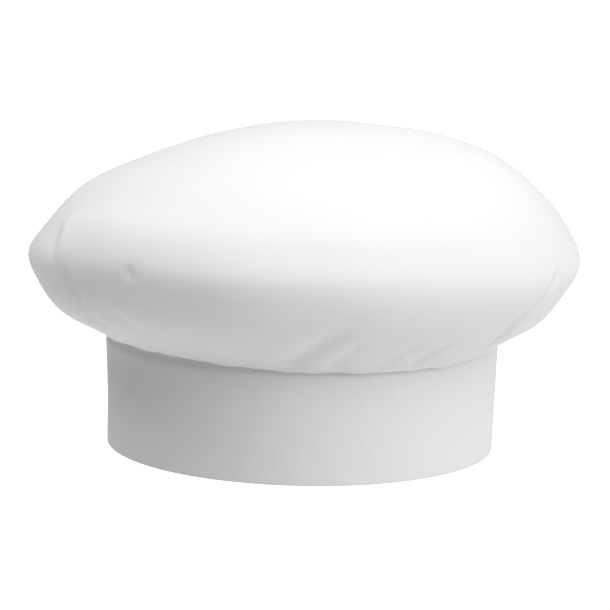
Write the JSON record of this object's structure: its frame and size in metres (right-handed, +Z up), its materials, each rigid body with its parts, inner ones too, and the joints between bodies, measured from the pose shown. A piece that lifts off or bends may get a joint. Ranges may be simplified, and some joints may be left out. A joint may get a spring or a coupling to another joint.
{
  "type": "chef hat",
  "caption": "Soft white chef hat: a puffed round crown of thin cloth gathered into a tall plain upright band, hollow and open below for a head.",
  "frame": {"origin": "centre of the band's lower edge, on the surface that the hat stands on", "axes": "+Z up through the crown, -Y towards the wearer's front, +X towards the wearer's left"},
  "size_m": [0.2686, 0.2686, 0.1584],
  "materials": {
    "crown_cloth": "smooth white cotton blend poplin, matt",
    "band_cloth": "white plain-weave cotton blend, doubled and pressed flat, matt"
  },
  "bodies": {
    "root": {"crown": "crown_cloth", "band": "band_cloth"}
  },
  "joints": []
}
